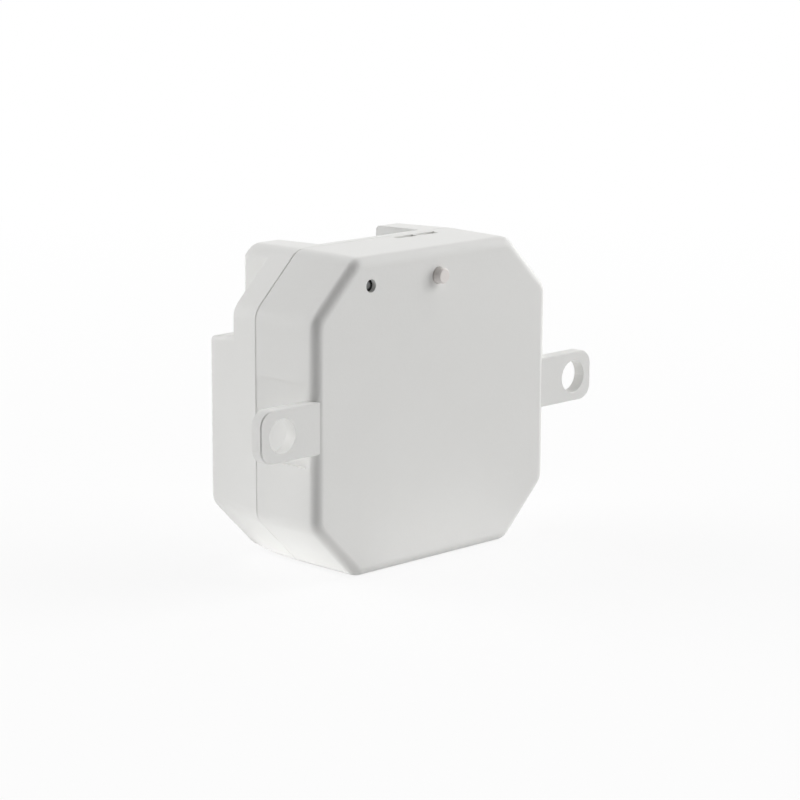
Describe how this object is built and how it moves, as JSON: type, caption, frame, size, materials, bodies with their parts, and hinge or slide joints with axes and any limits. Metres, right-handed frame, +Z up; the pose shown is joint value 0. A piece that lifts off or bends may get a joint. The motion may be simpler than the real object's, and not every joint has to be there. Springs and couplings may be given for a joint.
{
  "type": "heating receiver module",
  "caption": "Flush-mount radio heating receiver in a chamfered octagonal housing with mounting ears, a small button, an indicator and a rear screw terminal bay.",
  "frame": {"origin": "under the middle of the bounding box, on the plane that the flat lower facet stands on", "axes": "+Z up, the front panel with the button faces -Y, the wall box lies towards +Y, and +X is the button's side of the panel; the ears point along X"},
  "size_m": [0.068, 0.0244, 0.0464],
  "materials": {
    "shell_plastic": "fine satin moulded, warm white",
    "button_plastic": "satin moulded, white",
    "guide_clear": "clear moulded",
    "board_laminate": "green solder mask on glass laminate",
    "black_plastic": "moulded, matte",
    "relay_plastic": "moulded, satin",
    "relay_base_plastic": "moulded",
    "capacitor_plastic": "moulded, yellowish",
    "can_sleeve": "shrunk sleeve",
    "led_body": "clear cap on white body",
    "sheet_metal": "tin plated",
    "antenna_metal": "plated",
    "terminal_plastic": "moulded, grey",
    "tinned_brass": "tin plated",
    "cage_steel": "zinc plated",
    "screw_steel": "zinc plated"
  },
  "bodies": {
    "housing": {"front_shell": "shell_plastic", "rear_shell": "shell_plastic", "light_guide": "guide_clear", "circuit_board": "board_laminate", "switch_base": "black_plastic", "switch_cover": "sheet_metal", "status_led": "led_body", "relay_cover": "relay_plastic", "relay_base": "relay_base_plastic", "film_capacitor": "capacitor_plastic", "electrolytic_capacitor": "can_sleeve", "bridge_rectifier": "black_plastic", "voltage_regulator": "black_plastic", "microcontroller": "black_plastic", "crystal": "sheet_metal", "radio_board": "board_laminate", "radio_shield": "sheet_metal", "antenna_strip": "antenna_metal", "terminal_housing": "terminal_plastic", "terminal_bars": "tinned_brass"},
    "button": {"push_button": "button_plastic"},
    "plunger": {"switch_plunger": "black_plastic"},
    "screw_1": {"terminal_screw_1": "screw_steel"},
    "cage_1": {"terminal_cage_1": "cage_steel"},
    "screw_2": {"terminal_screw_2": "screw_steel"},
    "cage_2": {"terminal_cage_2": "cage_steel"},
    "screw_3": {"terminal_screw_3": "screw_steel"},
    "cage_3": {"terminal_cage_3": "cage_steel"},
    "screw_4": {"terminal_screw_4": "screw_steel"},
    "cage_4": {"terminal_cage_4": "cage_steel"}
  },
  "joints": [
    {"name": "button_press", "type": "slide", "parent": "housing", "child": "button", "axis": [0, 1, 0], "range_m": [0, 0.0003], "stiffness_N_per_m": 3000},
    {"name": "plunger_press", "type": "slide", "parent": "housing", "child": "plunger", "axis": [0, 1, 0], "range_m": [0, 0.0003]},
    {"name": "screw_1_turn", "type": "hinge", "parent": "housing", "child": "screw_1", "pos_m": [-0.0075, 0.0106, 0.03815], "axis": [0, -1, 0], "range_deg": [0, 960.1]},
    {"name": "cage_1_rise", "type": "slide", "parent": "housing", "child": "cage_1", "axis": [0, 1, 0], "range_m": [0, 0.0012]},
    {"name": "screw_2_turn", "type": "hinge", "parent": "housing", "child": "screw_2", "pos_m": [-0.0025, 0.0106, 0.03815], "axis": [0, -1, 0], "range_deg": [0, 960.1]},
    {"name": "cage_2_rise", "type": "slide", "parent": "housing", "child": "cage_2", "axis": [0, 1, 0], "range_m": [0, 0.0012]},
    {"name": "screw_3_turn", "type": "hinge", "parent": "housing", "child": "screw_3", "pos_m": [0.0025, 0.0106, 0.03815], "axis": [0, -1, 0], "range_deg": [0, 960.1]},
    {"name": "cage_3_rise", "type": "slide", "parent": "housing", "child": "cage_3", "axis": [0, 1, 0], "range_m": [0, 0.0012]},
    {"name": "screw_4_turn", "type": "hinge", "parent": "housing", "child": "screw_4", "pos_m": [0.0075, 0.0106, 0.03815], "axis": [0, -1, 0], "range_deg": [0, 960.1]},
    {"name": "cage_4_rise", "type": "slide", "parent": "housing", "child": "cage_4", "axis": [0, 1, 0], "range_m": [0, 0.0012]}
  ],
  "couplings": [
    {"joint": "plunger_press", "follows": "button_press", "ratio": 1},
    {"joint": "screw_1_turn", "follows": "cage_1_rise", "rad_per_m": 13963},
    {"joint": "screw_2_turn", "follows": "cage_2_rise", "rad_per_m": 13963},
    {"joint": "screw_3_turn", "follows": "cage_3_rise", "rad_per_m": 13963},
    {"joint": "screw_4_turn", "follows": "cage_4_rise", "rad_per_m": 13963}
  ]
}
